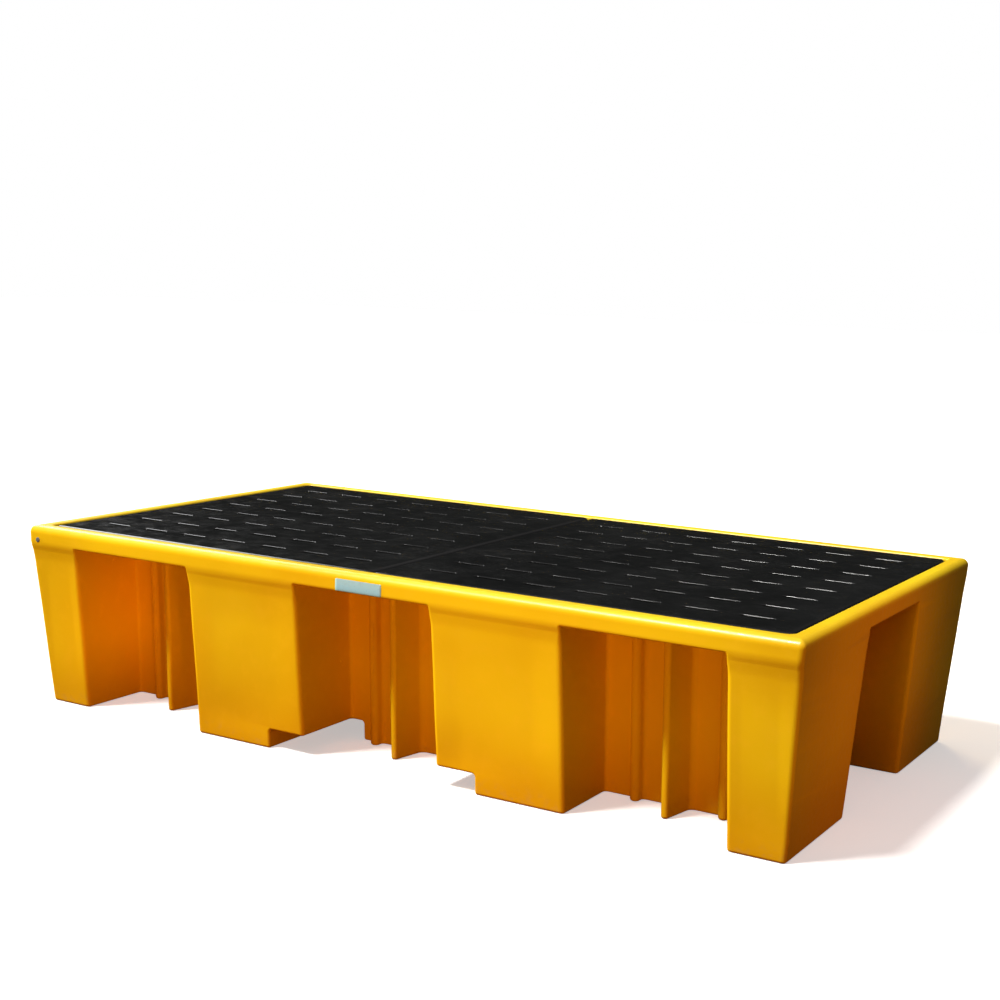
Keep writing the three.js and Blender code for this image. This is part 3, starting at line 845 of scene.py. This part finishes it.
def make_floor():
    """The pale floor that the camera sees, and a darker one under it that throws light back up."""
    seen, hidden = ("studio_floor", 0, floor_finish()), ("studio_bounce", -MM, bounce_finish())
    for name, level, finish in (seen, hidden):
        mesh = bmesh.new()
        bmesh.ops.create_grid(mesh, x_segments=1, y_segments=1, size=FLOOR_HALF)
        bmesh.ops.translate(mesh, vec=(0, 0, level), verts=mesh.verts)
        floor = finished(name, mesh)
        floor.data.materials.append(finish)
        throws_light = name == "studio_bounce"
        floor.visible_diffuse = throws_light
        floor.visible_glossy = throws_light
        floor.visible_camera = not throws_light


def add_lamp(name, place, aim, power, size, cone, squeeze, shiny, colour):
    """A lamp that only reflections show, or one that they don't show."""
    lamp = bpy.data.lights.new(name, "SPOT" if cone else "AREA")
    if cone:
        lamp.spot_size = math.radians(cone)
        lamp.spot_blend = 1
        lamp.shadow_soft_size = size
    else:
        lamp.size = size
    lamp.energy = power
    lamp.color = colour
    stand = bpy.data.objects.new(name, lamp)
    stand.location = place
    stand.scale.x = squeeze
    stand.rotation_euler = (Vector(place) - Vector(aim)).to_track_quat("Z", "Y").to_euler()
    stand.visible_camera = False
    stand.visible_glossy = shiny
    stand.visible_diffuse = not shiny
    bpy.context.scene.collection.objects.link(stand)


def light_studio():
    """A broad key light high at the front left, soft fills, and a dim sky that is brightest overhead."""
    sun = bpy.data.lights.new("key", "SUN")
    sun.energy = KEY_STRENGTH
    sun.angle = KEY_ANGLE
    sun.color = KEY_COLOUR
    key = bpy.data.objects.new("key", sun)
    key.rotation_euler = Vector(KEY_FROM).to_track_quat("Z", "Y").to_euler()
    bpy.context.scene.collection.objects.link(key)
    for name, settings in LAMPS.items():
        add_lamp(name, *settings)

    world = bpy.data.worlds.new("studio")
    world.use_nodes = True
    tree = world.node_tree
    sky, backdrop = tree.nodes["Background"], tree.nodes.new("ShaderNodeBackground")
    backdrop.inputs["Color"].default_value = (*BACKDROP_COLOUR, 1)
    direction = tree.nodes.new("ShaderNodeTexCoord")
    split = tree.nodes.new("ShaderNodeSeparateXYZ")
    ramp = tree.nodes.new("ShaderNodeValToRGB")
    ramp.color_ramp.elements[0].color = (*HORIZON_COLOUR, 1)
    ramp.color_ramp.elements[1].color = (*ZENITH_COLOUR, 1)
    ramp.color_ramp.elements.new(LOW_SKY).color = (*HORIZON_COLOUR, 1)
    ramp.color_ramp.interpolation = "EASE"
    path = tree.nodes.new("ShaderNodeLightPath")
    chosen = tree.nodes.new("ShaderNodeMixShader")
    for a, b in (
        (direction.outputs["Generated"], split.inputs[0]),
        (split.outputs["Z"], ramp.inputs[0]),
        (ramp.outputs[0], sky.inputs["Color"]),
        (path.outputs["Is Camera Ray"], chosen.inputs[0]),
        (sky.outputs[0], chosen.inputs[1]),
        (backdrop.outputs[0], chosen.inputs[2]),
        (chosen.outputs[0], tree.nodes["World Output"].inputs["Surface"]),
    ):
        tree.links.new(a, b)
    bpy.context.scene.world = world
    bpy.context.scene.view_settings.view_transform = "Standard"


def place_camera():
    """A camera that looks across the front from the right."""
    lens = bpy.data.cameras.new("camera")
    lens.lens = CAMERA_LENS
    lens.sensor_width = CAMERA_SENSOR
    lens.clip_end = 4 * FLOOR_HALF
    camera = bpy.data.objects.new("camera", lens)
    turn = Matrix.Rotation(CAMERA_YAW, 4, "Z")
    tip = Matrix.Rotation(math.pi / 2 - CAMERA_PITCH, 4, "X")
    roll = Matrix.Rotation(CAMERA_ROLL, 4, "Z")
    camera.matrix_world = Matrix.Translation(CAMERA_PLACE) @ turn @ tip @ roll
    bpy.context.scene.collection.objects.link(camera)
    bpy.context.scene.camera = camera


# ---------------------------------------------------------------- the whole pallet


def dress(piece, body, node, material):
    """Puts a piece on its body, in the place of a CAD node, with its finish."""
    piece.data.materials.clear()
    piece.data.materials.append(material)
    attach(piece, body)
    if node:
        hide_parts(node)


place_camera()
light_studio()
make_floor()

body, decks, columns = make_mouldings()
yellow = sump_plastic()
dress(body, "sump", "sump", yellow)
for pip in make_pips():
    dress(pip, "sump", None, yellow)
black = deck_plastic()
for deck, side in zip(decks, ("left", "right")):
    dress(deck, f"deck_{side}", f"deck_panel_{side}", black)
dull = column_plastic()
for column, node in zip(columns, COLUMNS):
    dress(column, "sump", node, dull)
dress(make_label(), "sump", "blank_label", label_film())
dress(make_plug(), "sump", "rim_plug", plug_plastic())
